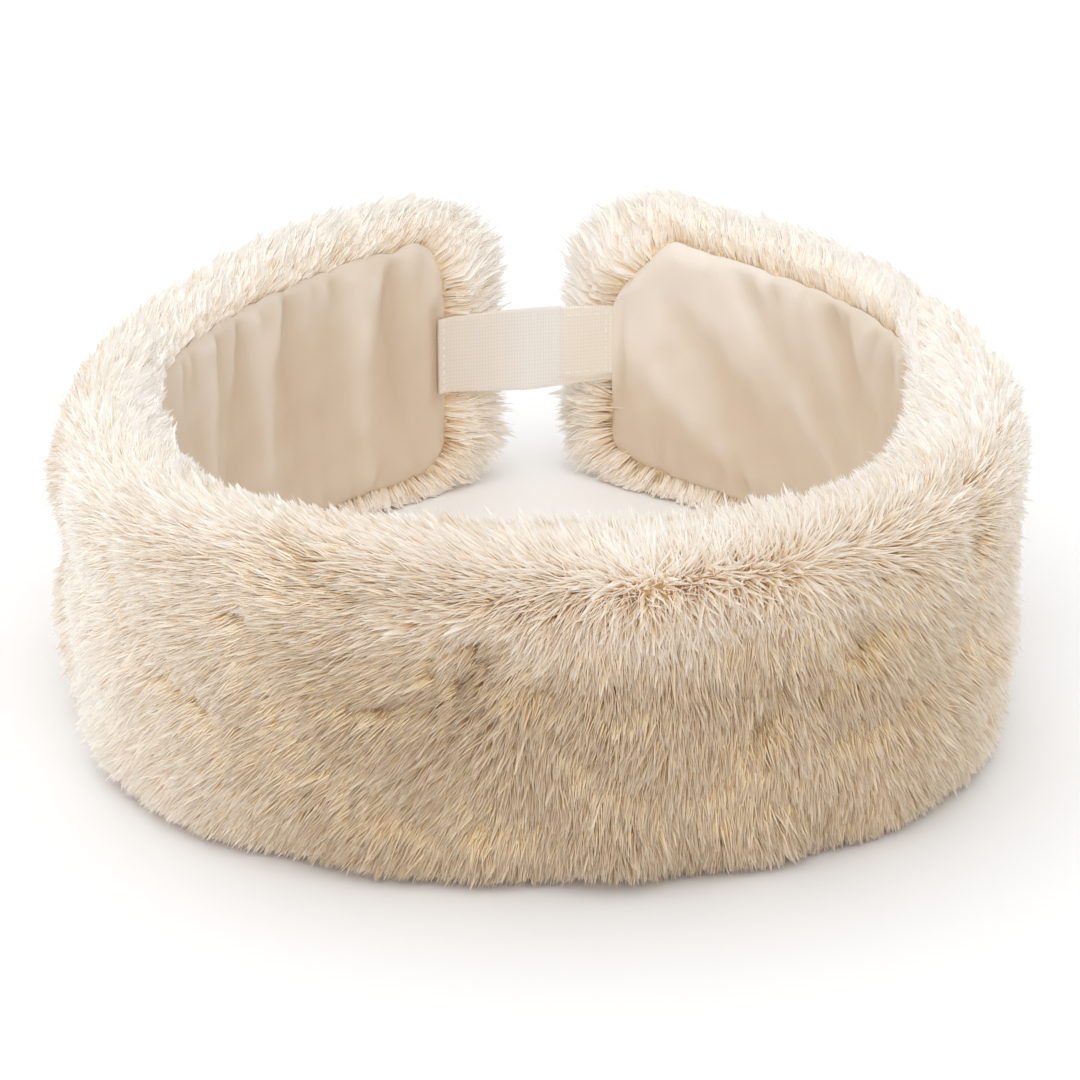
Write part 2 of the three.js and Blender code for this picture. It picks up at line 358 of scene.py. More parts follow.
def make_root_cloth():
    """Woven backing cloth in the colour of the pile's roots, with painted shade, browner, where the pile
    parts.
    """
    material, tree, shader = new_material("root_cloth", Roughness=0.95)
    place = put(tree, "ShaderNodeTexCoord").outputs["Object"]
    mottle = put(tree, "ShaderNodeTexNoise", {"Vector": place, "Scale": 420, "Detail": 4})
    golden = ramp(tree, mottle.outputs["Fac"], [(0.3, (0.98, 0.86, 0.60)), (0.7, (0.99, 0.90, 0.68))])
    brown = ramp(tree, mottle.outputs["Fac"], [(0.3, (0.83, 0.53, 0.20)), (0.7, (0.88, 0.62, 0.28))])
    # Painted shade where the pile parts, browner the deeper the parting.
    parting_shade = put(tree, "ShaderNodeAttribute", attribute_name="parting_shade").outputs["Fac"]
    colour = put(tree, "ShaderNodeMix", {0: parting_shade, 6: golden, 7: brown}, data_type="RGBA").outputs[2]
    finish_cloth(tree, shader, colour, mottle.outputs["Fac"], 0.6 * MM, 0.6)
    return material


(pad_outwards, pad_height, pad_round, pad_along, pad_from_end, pad_top, pad_foot), pad_faces = backing_loft()
pad_depth, pad_push = parting_at(pad_along, pad_height)
outer_share = smooth(0.5, 1, (pad_outwards - BACKING_INNER) / (BACKING_OUTER - BACKING_INNER))
pad_swell = (crossing_waves(pad_along, pad_height, WADDING_LUMPS) - pad_depth * MM) * outer_share
from_crown = pad_along - MIDDLE - CROWN_ALONG
below_crown = pad_round - CROWN_DOWN
pad_swell += CROWN_SWELL["rise"] * MM * round_crown(CROWN_SWELL)
pocket_reach = STRAP_POCKET["reach"]
pad_pocket = smooth_mm(pocket_reach + STRAP_POCKET["fade"], pocket_reach, LENGTH - pad_along)
pad_pocket *= between_mm(STRAP_POCKET["foot"], STRAP_POCKET["top"], STRAP_POCKET["level_fade"], pad_height)
pad_swell += STRAP_POCKET["depth"] * MM * pad_pocket * (1 - outer_share)
pad_points = on_band(pad_along, pad_outwards + pad_swell, pad_height)
backing = make_piece("fur_backing", pad_points, pad_faces, make_root_cloth())
# The backing's painted shade in the partings.
give(backing.data, "parting_shade", np.clip(pad_depth / BARE_DEPTH, 0, 1))
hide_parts("fur_band")
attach(backing, "root")


# ---- Pile --------------------------------------------------------------------------------------------
# Fine fibres knitted into the backing, each thick at its middle and drawn to a point, dyed warm at the root
# and nearly white at the tip. They are brushed away from a short frizzy crown on the right of the front's top
# edge, roll in over the lining at both sides, and fan out round the two ends.

CROWN_REACH = 7 * MM  # of the crown to either side of its middle, as a line along the band
CROWN_SPREAD = 95 * MM  # distance from the crown at which the pile lies its flattest along the band
CROWN_FRIZZ = {"length": 36, "width": 6.5}  # of the patch round the crown where it is frizzy, in millimetres
FALL_SPREAD = 66 * MM  # distance down the outer side over which the pile turns to point downwards
FALL_POWER = 1.2
# How much more it points downwards in some places.
MORE_FALL = {"right": 0.3, "under crown": 0.36, "left": 0.5, "back": 0.5}
SIDE_LEAN = 1.65  # tangent of the pile's lean on the outer side, where it lies its flattest
TOP_LEAN = 2.3  # and on the rim
UPRIGHT = 0.19  # how slowly that lean sets in with distance from the crown
RIM_SWEEP = {"left": 1.5, "right": 0.1}  # of the rim's inner edge along the band, for the lean sideways there
LENGTH_IN_PARTING = 0.16  # how much shorter the pile is, for each millimetre of a parting that it covers
PAINTED_SHADE_IN_PARTING = 0.21  # and how much darker and warmer its tint is painted, as shade in the parting
FRONT_ALONG = 10 * MM  # middle of the pile's painted shade on the front, from the middle of the front
FIBRE_WIDTH = 0.23 * MM
FIBRE_FOOT = 0.3 * MM  # of the lowest fibres above the table

STRAP_LEVEL = 36.8 * MM  # middle of the strap, which the pile leaves free at the right end
# The pile stops at the lining, which lies between these heights, in millimetres.
LINING_FOOT = 5.5
LINING_TOP = 67
# The cut of the lining's ends: (from the end, foot, top), in millimetres.
LINING_ENDS = {
    "left": [(0, 17, 50), (1, 12, 58), (3.5, 8.5, 64.5), (8, 6.2, 68), (14, LINING_FOOT, LINING_TOP)],
    "right": [(0, 14, 45), (1.5, 9.5, 50), (9, 7, 59), (18, 6, 68), (24, LINING_FOOT, LINING_TOP)],
}

# How far the rim's inner edge leans in over the lining, in tenths of how far it stands up, at shares of the
# band's length from its left end.
ROLL_IN = [
    (0, -8), (0.17, -8), (0.21, 0), (0.27, 7), (0.4, 5), (0.5, 2),
    (0.6, 7), (0.66, 10), (0.73, 10), (0.79, 1), (0.83, -8), (1, -8),
]

# The pile's stretches. Each is one piece. Those on the outer side run from one share of the band's length to
# another. density is in fibres to a square millimetre of backing, and width in fibre widths.
STRETCHES = [
    {"name": "pile_front_left", "from": 0.2, "until": 0.4, "density": 5.1, "width": 1.0},
    {"name": "pile_front_middle", "from": 0.4, "until": 0.6, "density": 5.5, "width": 1.0},
    {"name": "pile_front_right", "from": 0.6, "until": 0.8, "density": 5.1, "width": 1.0},
    {"name": "pile_back", "from": 0.8, "until": 1.2, "density": 2.1, "width": 1.6},
    {"name": "pile_rim", "density": 5.9, "width": 1.0},
    {"name": "pile_ends", "density": 4.2, "width": 1.0},
]
OUTER_STRETCHES = 4
RIM_STRETCH = 4
END_STRETCH = 5

# The pile's dye for each tint, as (reach along the fibre, colour) stops. Each blends in over a range of tint.
PILE_DYE = [
    {"tint": "brown", "from": 0, "to": 0, "stops": [
        (0, (0.83, 0.57, 0.20)), (0.45, (0.785, 0.63, 0.40)), (1, (0.79, 0.695, 0.575))]},
    {"tint": "warm", "from": 0, "to": 0.3, "stops": [
        (0, (0.885, 0.71, 0.36)), (0.45, (0.865, 0.73, 0.50)), (0.75, (0.865, 0.775, 0.65)),
        (1, (0.875, 0.81, 0.715))]},
    {"tint": "cream", "from": 0.3, "to": 1, "stops": [
        (0, (0.98, 0.905, 0.72)), (0.33, (0.98, 0.922, 0.825)), (0.62, (0.972, 0.937, 0.885)),
        (1, (0.967, 0.945, 0.91))]},
    {"tint": "pale", "from": 0.8, "to": 1, "stops": [
        (0, (0.98, 0.90, 0.77)), (0.33, (0.98, 0.933, 0.86)), (0.62, (0.972, 0.95, 0.915)),
        (1, (0.968, 0.952, 0.927))]},
]

# Drifts of the pile's lie: over patches of this size, in millimetres, it leans by up to half this much.
DRIFTS = [(17, 0.9), (5, 0.42), (2.2, 0.25)]
LOCK_STRAY = 0.2  # how far each lock leans its own way
STRAY = 0.12  # and each fibre
FRIZZY_STRAY = 0.64  # more where it is frizzy
PATCH_SIZE = 12 * MM  # of lighter and darker patches
PATCH_SHADE = 0.12
LOCK_SHADE = 0.07
# The underfur's darker tint: painted shade for the gaps between the longer fibres.
UNDERFUR_PAINTED_SHADE = -0.13


def lining_cut(along):
    """The lining's foot and top edges, rounding off towards each end."""
    cut = []
    for column in (1, 2):
        edges = []
        for side, from_end in (("left", along), ("right", LENGTH - along)):
            rows = np.array(LINING_ENDS[side])
            fine = np.linspace(0, math.sqrt(rows[-1, 0]), 60)
            corner = np.interp(fine, np.sqrt(rows[:, 0]), rows[:, column])
            eased = np.convolve(np.pad(corner, 5, mode="edge"), np.hanning(13)[1:-1] / 6, "valid")
            edges.append(np.interp(np.sqrt(np.maximum(from_end, 0) / MM), fine, eased))
        cut.append(np.where(along < MIDDLE, *edges) * MM)
    return cut


def level_ways(ways):
    """Level directions at the backing's points, from those along the band's line."""
    held = np.clip(pad_along, 0, LENGTH)
    return np.concatenate([read_line(held, line_along, ways), np.zeros((len(held), 1))], axis=1)


def share_sides():
    """How much each of the backing's points belongs to the outer side, rim, head's side, ends and foot."""
    out = np.einsum("ij,ij->i", pad_normals, pad_outward)
    end = np.einsum("ij,ij->i", pad_normals, pad_ahead)
    up = pad_normals[:, 2]
    weights = [
        smooth(0.1, 0.8, out) ** 2,
        smooth(0.1, 0.8, up) ** 2,
        smooth(0.1, 0.8, -out) ** 2,
        smooth(0.2, 0.9, np.abs(end)) ** 2,
        smooth(0.1, 0.8, -up) ** 2,
    ]
    total = np.maximum(sum(weights), 1e-6)
    return [weight / total for weight in weights]


def on_sides(outer, rim, head, end, foot):
    """A value for each of the backing's points, from those of the sides that it belongs to."""
    return sum(share * value for share, value in zip(side_shares, (outer, rim, head, end, foot)))


def blend(*parts):
    """The sum of (amount, direction) parts, at unit length."""
    return unit(sum(np.asarray(amount).reshape(-1, 1) * direction for amount, direction in parts))


def pile_fall(roll_in):
    """How far the fibres point over the outer top edge and down, or up where it is less than nothing."""
    down_side = smooth_mm(0, 12, pad_round)
    fall = (np.maximum(pad_round, 0) / FALL_SPREAD) ** FALL_POWER
    fall += MORE_FALL["right"] * smooth_mm(10, 60, from_crown) * down_side
    under_crown = smooth_mm(60, 10, np.abs(from_crown)) * np.tanh(pad_round / (5 * MM))
    fall += MORE_FALL["under crown"] * under_crown
    fall += MORE_FALL["left"] * smooth_mm(50, 150, -from_crown) * down_side
    fall += MORE_FALL["back"] * at_back * smooth_mm(-5, 2, pad_round)
    # On the rim it leans in towards the lining, and further where it rolls in over it.
    return fall - (0.14 + 0.7 * roll_in) * np.maximum(-pad_round, 0) / (8 * MM)


def pile_way():
    """Which way the fibres point: away from the crown, over the rim and round the ends."""
    upward = np.array([0.0, 0.0, 1.0])
    over = np.cross(pad_ahead, pad_normals)  # outwards across the rim, and down the outer side
    roll_in = np.interp(pad_along / LENGTH, *zip(*ROLL_IN)) / 10
    fall = pile_fall(roll_in)
    past_crown = np.sign(from_crown) * np.maximum(np.abs(from_crown) - CROWN_REACH, 0)
    sideways = np.tanh(past_crown / CROWN_SPREAD)
    rim_sweep = RIM_SWEEP["left"] * np.minimum(sideways, 0) + RIM_SWEEP["right"] * np.maximum(sideways, 0)
    flattest = np.interp(pad_round, (-6 * MM, 6 * MM), (TOP_LEAN, SIDE_LEAN))
    lean = flattest / (np.hypot(sideways, fall) + UPRIGHT)
    near_edge = smooth_mm(6.5, 1.5, pad_top - pad_height)
    by_strap = between_mm(26, 48, 6, pad_height) * near_end
    outer_way = blend(
        (1, pad_normals),
        (sideways * lean + 0.5 * near_end * towards_end + pad_push[:, 0], pad_ahead),
        (fall * lean, over),
        (pad_push[:, 1], upward),
    )
    head_way = blend(
        (near_top - near_foot, upward),
        (near_end * towards_end + (1 - near_end) * near_top * rim_sweep, pad_ahead),
        (0.5 * by_strap - 0.12 * (1 - near_top) - roll_in * near_edge, pad_outward),
    )
    end_way = blend(
        (1, pad_normals),
        (0.5 * towards_end, pad_ahead),
        (0.35 * (near_top - near_foot), upward),
    )
    foot_way = blend(
        (-0.2, upward),
        (0.9 - 1.5 * inwards, pad_outward),
        (near_end * towards_end, pad_ahead),
    )
    return blend(*zip(side_shares, (outer_way, outer_way, head_way, end_way, foot_way)))


def pile_length():
    """Longest round the ends and on the rim at the back, and short over the foot and over partings."""
    low_down = smooth_mm(16, 5, pad_height)
    length = MM * on_sides(
        outer=9.9 + 3.5 * near_end - 2.6 * low_down,
        rim=10.6 + 3.4 * at_back,
        head=10 + 4 * near_end,
        end=16 + 1.5 * (pad_along < MIDDLE),
        foot=4,
    )
    reach_along = np.einsum("ij,ij->i", fibre_way, pad_ahead) * length
    reach_up = fibre_way[:, 2] * length
    half_way, _ = parting_at(pad_along + 0.5 * reach_along, pad_height + 0.5 * reach_up)
    at_tip, _ = parting_at(pad_along + reach_along, pad_height + reach_up)
    covered = np.maximum(np.maximum(half_way, at_tip), pad_depth) * (pad_round > 0)
    length *= np.clip(1 - LENGTH_IN_PARTING * covered, 0.3, 1)
    return length * (1 - 0.12 * frizz)


def pile_tint_with_painted_light():
    """From brown at 0 over warm and cream to pale at 1. Painted shade makes it warmest low on the front and
    where the pile parts, and darker and warmer far round the outer side and on the rim over the front;
    painted light makes it palest on the ends and on the frizzy crown.
    """
    # Painted shade on the outer side, far round from the front.
    far_painted_shade = smooth_mm(106, 162, from_front)
    low = smooth_mm(2, 26, pad_round)
    on_right = smooth_mm(-25, 35, pad_along - MIDDLE)
    # Painted shade over the front, deepest low down.
    front_painted_shade = (0.53 + 0.17 * on_right) * in_front + (0.54 - 0.22 * on_right) * low * in_front ** 2
    tint = on_sides(
        outer=1 - front_painted_shade - 0.45 * far_painted_shade,
        rim=1 - 0.22 * smooth_mm(110, 30, from_front),
        head=1,
        end=1.05,
        foot=0.5,
    )
    # Painted light on the frizzy crown, and painted shade in the partings.
    left_of_crown = 1 - smooth_mm(-20, 20, from_crown)
    return tint - PAINTED_SHADE_IN_PARTING * pad_depth + (0.20 + 0.14 * left_of_crown) * frizz


def pile_density():
    """Densest where the pile is frizzy. None grows behind the lining or under the strap."""
    lining_foot, lining_top = lining_cut(pad_along)
    past_hem = 1.2 * MM
    hidden = (lining_top - pad_height > 1.4 * MM) & (pad_height - lining_foot > 1.5 * MM)
    hidden &= pad_from_end > past_hem
    beside_strap = (np.abs(pad_height - STRAP_LEVEL) > 10.4 * MM) & (pad_from_end < past_hem)
    clear = (pad_pocket * (inwards > 0.8) < 0.05) | beside_strap
    return (1 + 0.45 * frizz) * on_sides(outer=1, rim=1, head=1 - hidden, end=1, foot=0.25) * clear


def pile_looks():
    """Which way the fibres' broad side looks: off the backing, and away from the band's middle."""
    sides = np.where(inwards > 0.5, -1, 1)[:, None]
    return unit(pad_normals + 0.9 * sides * pad_outward)


def pile_stretch():
    """The number of the stretch that each of the backing's points belongs to."""
    outer, rim = side_shares[:2]
    turn = pad_along / LENGTH
    stretch = np.full(len(turn), END_STRETCH)
    for number, row in enumerate(STRETCHES[:OUTER_STRETCHES]):
        past_start = (turn - row["from"]) % 1
        stretch[(past_start < row["until"] - row["from"]) & (outer > 0.5)] = number
    stretch[(rim >= 0.5) | (outer <= 0.5) & (outer + rim > 0.5)] = RIM_STRETCH
    return stretch


# The backing's points: which way they look and which way the band runs there, and where they lie, as shares.
pad_normals = np.empty(len(backing.data.vertices) * 3)
backing.data.vertex_normals.foreach_get("vector", pad_normals)
pad_normals = pad_normals.reshape(-1, 3)
pad_ahead = level_ways(line_tangent)
pad_outward = level_ways(line_outward)
side_shares = share_sides()
inwards = (BACKING_OUTER - pad_outwards) / (BACKING_OUTER - BACKING_INNER)
towards_end = np.sign(pad_along - MIDDLE)
near_end = smooth_mm(20, -4, pad_from_end)
near_top = smooth_mm(14, 2, pad_top - pad_height)
near_foot = smooth_mm(12, 2, pad_height - pad_foot)
at_back = smooth(0.3, 0.42, np.abs(pad_along / LENGTH - 0.5))
from_front = np.abs(pad_along - MIDDLE - FRONT_ALONG)
in_front = smooth_mm(125, 38, from_front)
frizz = round_crown(CROWN_FRIZZ)

fibre_way = pile_way()
pile_values = {
    "length": pile_length(),
    "tint": pile_tint_with_painted_light(),
    "density": pile_density(),
    "frizz": frizz,
    "uneven": on_sides(outer=0.45 + 0.55 * in_front, rim=0.45, head=0.5, end=0.4, foot=0.6),
}
for name, values in pile_values.items():
    give(backing.data, name, values)
give(backing.data, "way", fibre_way, "FLOAT_VECTOR")
give(backing.data, "looks", pile_looks(), "FLOAT_VECTOR")
stretch_of_point = pile_stretch()
stretch_of_face = [int(np.median(stretch_of_point[list(face.vertices)])) for face in backing.data.polygons]
give(backing.data, "stretch", stretch_of_face, "INT", "FACE")


def make_fibre():
    """One fibre, a metre long and wide, as a blade bent at its middle: a root, two points where it is widest,
    and a tip, closed behind. reach runs along it and side across it."""
    points = [(0, 0, 0), (-0.5, 0.18, 0.45), (0.5, 0.18, 0.45), (0, 0, 1)]
    made = make_piece("fibre", points, [(0, 1, 2), (1, 3, 2), (0, 3, 1), (0, 2, 3)])
    made.data.polygons.foreach_set("use_smooth", [False] * 4)
    give(made.data, "reach", [0, 0.5, 0.5, 1])
    give(made.data, "side", [0, -1, 1, 0])
    return made


def make_pile_dye():
    """The fibres' finish. Across their map runs the tint, from brown over warm and cream to pale, and up it
    the fibre, from root to tip."""
    material, tree, shader = new_material("pile_dye", Roughness=0.75, Specular_IOR_Level=0.12)
    place = put(tree, "ShaderNodeUVMap", uv_map="OFBake").outputs["UV"]
    tint, reach, _ = put(tree, "ShaderNodeSeparateXYZ", {"Vector": place}).outputs
    colour = ramp(tree, reach, PILE_DYE[0]["stops"])
    for row in PILE_DYE[1:]:
        span = {"Value": tint, "From Min": row["from"], "From Max": row["to"]}
        share = put(tree, "ShaderNodeMapRange", span).outputs["Result"]
        mix = {0: share, 6: colour, 7: ramp(tree, reach, row["stops"])}
        colour = put(tree, "ShaderNodeMix", mix, data_type="RGBA").outputs[2]
    tree.links.new(colour, shader.inputs["Base Color"])
    return material


def new_tree(name, inputs, output):
    """A Geometry Nodes tree with named inputs and one geometry output: the tree, and its inputs' sockets."""
    tree = bpy.data.node_groups.new(name, "GeometryNodeTree")
    for label, kind in inputs.items():
        tree.interface.new_socket(label, in_out="INPUT", socket_type="NodeSocket" + kind)
    tree.interface.new_socket(output, in_out="OUTPUT", socket_type="NodeSocketGeometry")
    return tree, put(tree, "NodeGroupInput").outputs


def maths(tree, operation, *values):
    """A value worked out from others. Any number of them can be added or multiplied."""
    count = 2 if operation in ("ADD", "MULTIPLY") else len(values)
    result = put(tree, "ShaderNodeMath", dict(enumerate(values[:count])), operation=operation).outputs[0]
    return maths(tree, operation, result, *values[count:]) if values[count:] else result


def set_copies(tree, model, points, turned, scale):
    """Real copies of an object at points, turned and scaled."""
    shape = put(tree, "GeometryNodeObjectInfo", {"Object": model}).outputs["Geometry"]
    copies = {"Points": points, "Instance": shape, "Rotation": turned, "Scale": scale}
    instances = put(tree, "GeometryNodeInstanceOnPoints", copies).outputs[0]
    return put(tree, "GeometryNodeRealizeInstances", {"Geometry": instances}).outputs[0]


def finish_tree(tree, geometry, material):
    """Ends a tree in its geometry with a material on it."""
    finished = put(tree, "GeometryNodeSetMaterial", {"Geometry": geometry, "Material": material}).outputs[0]
    put(tree, "NodeGroupOutput", {0: finished})


def make_pile_tree():
    """Scatters fibres over one stretch of the backing, gathers their tips into locks, and arches each one."""
    tree, given = new_tree("pile", {
        "Backing": "Geometry",
        "Fibre": "Object",
        "Finish": "Material",
        "Stretch": "Int",
        "Density": "Float",
        "Width": "Float",
        "Lock density": "Float",
        "Gathering": "Float",
        "Unevenness": "Float",
        "Arch": "Float",
        "Underfur": "Float",
        "Seed": "Int",
    }, "Pile")

    def named(name, kind="FLOAT"):
        return put(tree, "GeometryNodeInputNamedAttribute", {"Name": name}, data_type=kind).outputs[0]

    def sums(operation, *values):
        return maths(tree, operation, *values)

    def vectors(operation, a, b=None, scale=None):
        inputs = {0: a}
        if b is not None:
            inputs[1] = b
        if scale is not None:
            inputs["Scale"] = scale
        made = put(tree, "ShaderNodeVectorMath", inputs, operation=operation)
        return made.outputs["Value" if operation in ("LENGTH", "DOT_PRODUCT") else "Vector"]

    def chance(low, high, salt):
        """A random number for each fibre or lock. Each salt gives a draw of its own."""
        inputs = {2: low, 3: high, "Seed": sums("ADD", given["Seed"], salt)}
        return put(tree, "FunctionNodeRandomValue", inputs, data_type="FLOAT").outputs[1]

    def jitter(size, salt):
        """A random vector, up to this much each way."""
        inputs = {0: (-size,) * 3, 1: (size,) * 3, "Seed": sums("ADD", given["Seed"], salt)}
        return put(tree, "FunctionNodeRandomValue", inputs, data_type="FLOAT_VECTOR").outputs[0]

    length, frizz = named("length"), named("frizz")
    place = put(tree, "GeometryNodeInputPosition").outputs[0]

    def drift(size, amount):
        """A smooth, uneven drift of the pile's lie over patches of about this size."""
        noise = put(tree, "ShaderNodeTexNoise", {"Vector": place, "Scale": 1 / size, "Detail": 1.5})
        centred = vectors("SUBTRACT", noise.outputs["Color"], (0.5, 0.5, 0.5))
        return vectors("SCALE", centred, scale=sums("MULTIPLY", given["Unevenness"], named("uneven"), amount))

    def spread(density, salt, selection=None):
        """Points on the backing at this many to a square millimetre."""
        to_square_metre = sums("MULTIPLY", density, 1 / MM ** 2, named("density"))
        seed = sums("ADD", given["Seed"], salt)
        inputs = {"Mesh": given["Backing"], "Density": to_square_metre, "Seed": seed}
        if selection is not None:
            inputs["Selection"] = selection
        return put(tree, "GeometryNodeDistributePointsOnFaces", inputs).outputs

    # The pile's lie, and the locks that it falls into.
    way = named("way", "FLOAT_VECTOR")
    for size, amount in DRIFTS:
        way = vectors("ADD", way, drift(size * MM, amount))
    locks = spread(given["Lock density"], 1)["Points"]
    lock_way = vectors("NORMALIZE", vectors("ADD", way, jitter(LOCK_STRAY, 2)))
    lock_length = sums("MULTIPLY", length, chance(0.85, 1.12, 3))
    lock_tip = vectors("ADD", place, vectors("SCALE", lock_way, scale=lock_length))

    # The fibres of one stretch. One in sixteen flies away past the others, and the underfur is shorter.
    numbers = {2: named("stretch", "INT"), 3: given["Stretch"]}
    here = put(tree, "FunctionNodeCompare", numbers, data_type="INT", operation="EQUAL").outputs["Result"]
    fibres = spread(given["Density"], 4, here)
    stray = vectors("SCALE", jitter(1.0, 5), scale=sums("MULTIPLY_ADD", frizz, FRIZZY_STRAY, STRAY))
    own_way = vectors("NORMALIZE", vectors("ADD", way, stray))
    flyaway = sums("MULTIPLY", sums("MAXIMUM", sums("SUBTRACT", chance(0.0, 1.0, 13), 0.94), 0.0), 6.0)
    is_under = sums("GREATER_THAN", chance(0.0, 1.0, 14), sums("SUBTRACT", 1.0, given["Underfur"]))
    length_share = sums("ADD", chance(0.72, 1.1, 6), flyaway)
    own_length = sums("MULTIPLY", length, length_share, sums("MULTIPLY_ADD", is_under, -0.15, 1.0))
    own_tip = vectors("SCALE", own_way, scale=own_length)
    nearest = put(tree, "GeometryNodeSampleNearest", {"Geometry": locks}).outputs["Index"]

    def of_lock(value, kind):
        inputs = {"Geometry": locks, "Value": value, "Index": nearest}
        return put(tree, "GeometryNodeSampleIndex", inputs, data_type=kind).outputs["Value"]

    # Its tip is drawn towards its lock's, less where it is frizzy, and its broad side faces outwards.
    to_lock = vectors("SUBTRACT", vectors("SUBTRACT", of_lock(lock_tip, "FLOAT_VECTOR"), place), own_tip)
    neatness = sums("MULTIPLY_ADD", frizz, -0.6, 1.0)
    pull = sums("MULTIPLY", given["Gathering"], chance(0.4, 1.2, 7), neatness)
    tip = vectors("ADD", own_tip, vectors("SCALE", to_lock, scale=pull))
    facing = vectors("ADD", named("looks", "FLOAT_VECTOR"), jitter(0.3, 11))
    axes = {"Primary Axis": tip, "Secondary Axis": facing}
    turned = put(tree, "FunctionNodeAxesToRotation", axes, primary_axis="Z", secondary_axis="Y").outputs[0]
    thinner = sums("MULTIPLY_ADD", is_under, -0.2, 1.0)
    width = sums("MULTIPLY", given["Width"], chance(0.75, 1.25, 8), thinner)
    scale = put(tree, "ShaderNodeCombineXYZ", {0: width, 1: width, 2: vectors("LENGTH", tip)}).outputs[0]

    # It arches off the backing, square to its lean, and a little to one side.
    lean = vectors("NORMALIZE", tip)
    along_lean = vectors("SCALE", lean, scale=vectors("DOT_PRODUCT", fibres["Normal"], lean))
    off_lean = vectors("SUBTRACT", fibres["Normal"], along_lean)
    bulge = vectors("ADD", off_lean, jitter(0.5, 9))
    arch = vectors("SCALE", bulge, scale=sums("MULTIPLY", vectors("LENGTH", tip), given["Arch"]))

    def keep(geometry, name, value, kind="FLOAT", domain="POINT"):
        inputs = {"Geometry": geometry, "Name": name, "Value": value}
        return put(tree, "GeometryNodeStoreNamedAttribute", inputs, data_type=kind, domain=domain).outputs[0]

    # Its tint, with patches, locks and fibres that are paler or warmer than the rest, and the underfur
    #     darker, as painted shade in the gaps between the longer fibres.
    patches = put(tree, "ShaderNodeTexNoise", {"Vector": place, "Scale": 1 / PATCH_SIZE, "Detail": 1.0})
    patch_shade = sums("MULTIPLY_ADD", patches.outputs["Fac"], 2 * PATCH_SHADE, -PATCH_SHADE)
    lock_shade = sums("ADD", of_lock(chance(-LOCK_SHADE, LOCK_SHADE, 12), "FLOAT"), patch_shade)
    not_frizzy = sums("SUBTRACT", 1.0, frizz)
    underfur_painted_shade = sums("MULTIPLY", named("uneven"), UNDERFUR_PAINTED_SHADE, sums("MULTIPLY", is_under, not_frizzy))
    own_shade = sums("ADD", underfur_painted_shade, chance(-LOCK_SHADE, LOCK_SHADE, 10))
    shade = sums("ADD", named("tint"), lock_shade, own_shade)

    # The fibres, arched, and none lower than just above the table.
    points = keep(keep(fibres["Points"], "arch", arch, "FLOAT_VECTOR"), "shade", shade)
    real = set_copies(tree, given["Fibre"], points, turned, scale)
    reach = named("reach")
    middle = sums("MULTIPLY", reach, sums("SUBTRACT", 1.0, reach), 4.0)
    offset = vectors("SCALE", named("arch", "FLOAT_VECTOR"), scale=middle)
    arched = put(tree, "GeometryNodeSetPosition", {"Geometry": real, "Offset": offset}).outputs[0]
    on_table = vectors("MAXIMUM", place, (-10.0, -10.0, FIBRE_FOOT))
    settled = put(tree, "GeometryNodeSetPosition", {"Geometry": arched, "Position": on_table}).outputs[0]

    # Their map: the shade across, with a little width for each fibre, and the reach up.
    across = sums("ADD", named("shade"), sums("MULTIPLY", named("side"), 0.004))
    across = put(tree, "ShaderNodeClamp", {"Value": across, "Min": 0.01, "Max": 0.99}).outputs[0]
    up = sums("ADD", sums("MULTIPLY", reach, 0.96), 0.02)
    chart = put(tree, "ShaderNodeCombineXYZ", {0: across, 1: up}).outputs[0]
    finish_tree(tree, keep(settled, "OFBake", chart, "FLOAT2", "CORNER"), given["Finish"])
    return tree


# Values that the trees work with and the finished pieces don't keep.
WORKING_VALUES = (*pile_values, "way", "looks", "stretch", "arch", "shade", "side", "reach")


def grow(tree, on_object, name, settings):
    """Runs a tree on an object and keeps what it makes as a plain mesh of its own."""
    modifier = on_object.modifiers.new(name, "NODES")
    modifier.node_group = tree
    for item in tree.interface.items_tree:
        if item.in_out == "INPUT" and item.name in settings:
            modifier[item.identifier] = settings[item.name]
    grown = on_object.evaluated_get(bpy.context.evaluated_depsgraph_get())
    mesh = bpy.data.meshes.new_from_object(grown)
    on_object.modifiers.remove(modifier)
    mesh.name = name
    for value in [kept.name for kept in mesh.attributes if kept.name in WORKING_VALUES]:
        mesh.attributes.remove(mesh.attributes[value])
    return place_mesh(name, mesh)


fibre = make_fibre()
pile_dye = make_pile_dye()
pile_tree = make_pile_tree()
for number, row in enumerate(STRETCHES):
    pile = grow(pile_tree, backing, row["name"], {
        "Fibre": fibre,
        "Finish": pile_dye,
        "Stretch": number,
        "Density": row["density"],
        "Width": FIBRE_WIDTH * row["width"],
        "Lock density": 0.45,
        "Gathering": 0.6,
        "Unevenness": 1.0,
        "Arch": 0.19,
        "Underfur": 0.16,
        "Seed": 11,
    })
    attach(pile, "root")
bpy.data.objects.remove(fibre)


# ---- Lining ------------------------------------------------------------------------------------------
# One strip of cream satin over the head's side of the backing. Its edges are folded under and slip-stitched
# down, which puckers them, and as the band bends the strip lies in soft folds.

LINING_SHEET = 0.45 * MM
LINING_LIES = 0.9 * MM  # its smooth face, outwards from the band's line
LINING_SWELL = 1.5  # how far the wadding bulges it in from its edges, in millimetres
LINING_SOFT_EDGE = 4.5  # over which it reaches that height, in millimetres
LINING_ROWS = 34
LINING_STEP = 1.9 * MM
LINING_END_STEP = 0.85 * MM  # over the pleated stretch at each end
LINING_END = 118 * MM
LINING_TIP = 14 * MM  # over the rounded corners, with ever closer stations towards the end
LINING_TIP_STATIONS = 15
HEM_ROLL = 0.45  # height of the roll along the folded edge, in millimetres
HEM_DROP = 0.35  # and how far the very edge drops behind it
